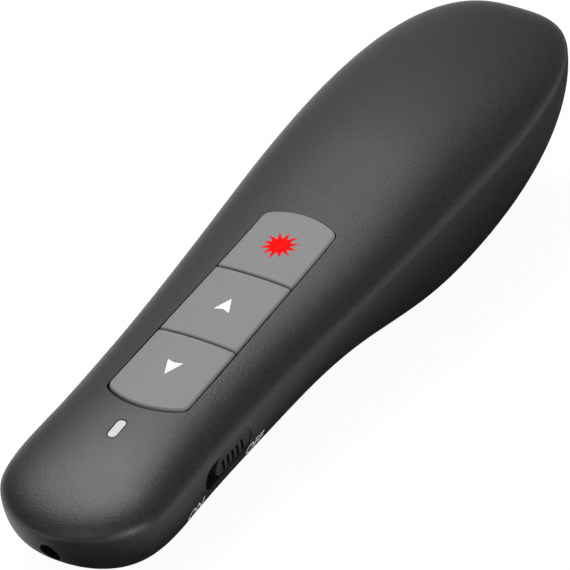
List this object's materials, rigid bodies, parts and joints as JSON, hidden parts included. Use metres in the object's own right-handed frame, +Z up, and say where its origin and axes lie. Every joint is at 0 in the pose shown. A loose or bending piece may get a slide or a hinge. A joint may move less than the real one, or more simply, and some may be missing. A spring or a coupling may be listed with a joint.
{
  "type": "presentation clicker",
  "caption": "Pod-shaped wireless presentation clicker with thumb keys on top, a laser aperture in the nose, a side power slide, a battery cover and a stowed USB receiver.",
  "frame": {"origin": "centre of the bounding box's bottom face: the table under the middle of the housing", "axes": "+Z up from the table, +Y from the nose with the laser aperture to the tail, +X to the side with the power switch"},
  "size_m": [0.032, 0.1262, 0.0261],
  "materials": {
    "shell": "fine-grained satin anthracite plastic",
    "key_plastic": "matte mid-grey plastic",
    "knob_plastic": "satin black plastic",
    "window_plastic": "frosted light guide",
    "receiver_plastic": "satin black plastic",
    "inner_plastic": "moulded black plastic",
    "board": "green solder mask",
    "chip_plastic": "moulded epoxy",
    "led_lens": "clear resin",
    "bright_steel": "nickel-plated steel",
    "copper_gilt": "gilt copper alloy",
    "laser_brass": "turned brass",
    "laser_glass": "polished",
    "battery_jacket": "printed foil jacket, left plain"
  },
  "bodies": {
    "root": {"top_shell": "shell", "bottom_shell": "shell", "status_window": "window_plastic", "status_led": "led_lens", "circuit_board": "board", "board_screws": "bright_steel", "controller_chip": "chip_plastic", "radio_crystal": "bright_steel", "board_capacitors": "chip_plastic", "antenna_strip": "copper_gilt", "button_switch_bases": "inner_plastic", "slide_switch_case": "inner_plastic", "slide_switch_terminals": "copper_gilt", "laser_barrel": "laser_brass", "laser_lens": "laser_glass", "laser_lens_ring": "laser_brass", "laser_diode": "bright_steel", "laser_leads": "copper_gilt", "battery_left": "battery_jacket", "battery_right": "battery_jacket", "battery_contacts_front": "bright_steel", "battery_bridge_rear": "bright_steel", "housing_screws": "bright_steel"},
    "page_up_key": {"page_up_button": "key_plastic", "page_up_plunger": "inner_plastic"},
    "page_down_key": {"page_down_button": "key_plastic", "page_down_plunger": "inner_plastic"},
    "laser_key": {"laser_button": "key_plastic", "laser_plunger": "inner_plastic"},
    "power_slider": {"power_knob": "knob_plastic", "slide_switch_lever": "inner_plastic"},
    "battery_cover": {"battery_cover": "shell"},
    "usb_receiver": {"receiver_cap": "receiver_plastic", "receiver_plug_shell": "bright_steel", "receiver_plug_tongue": "inner_plastic", "receiver_contacts": "copper_gilt", "receiver_board": "board"}
  },
  "joints": [
    {"name": "page_up_press", "type": "slide", "parent": "root", "child": "page_up_key", "axis": [0, 0.1122, -0.9937], "range_m": [0, 0.0003], "stiffness_N_per_m": 800, "springref_m": -0.0004},
    {"name": "page_down_press", "type": "slide", "parent": "root", "child": "page_down_key", "axis": [0, 0.1122, -0.9937], "range_m": [0, 0.0003], "stiffness_N_per_m": 800, "springref_m": -0.0004},
    {"name": "laser_press", "type": "slide", "parent": "root", "child": "laser_key", "axis": [0, 0.1122, -0.9937], "range_m": [0, 0.0003], "stiffness_N_per_m": 800, "springref_m": -0.0004},
    {"name": "power_slide", "type": "slide", "parent": "root", "child": "power_slider", "axis": [0, -0.9937, -0.1122], "range_m": [0, 0.0025]},
    {"name": "cover_lift_off", "type": "slide", "parent": "root", "child": "battery_cover", "axis": [0, 0.1122, -0.9937], "range_m": [0, 0.014]},
    {"name": "receiver_pull_out", "type": "slide", "parent": "root", "child": "usb_receiver", "axis": [0, 0.9937, 0.1122], "range_m": [0, 0.022]}
  ]
}
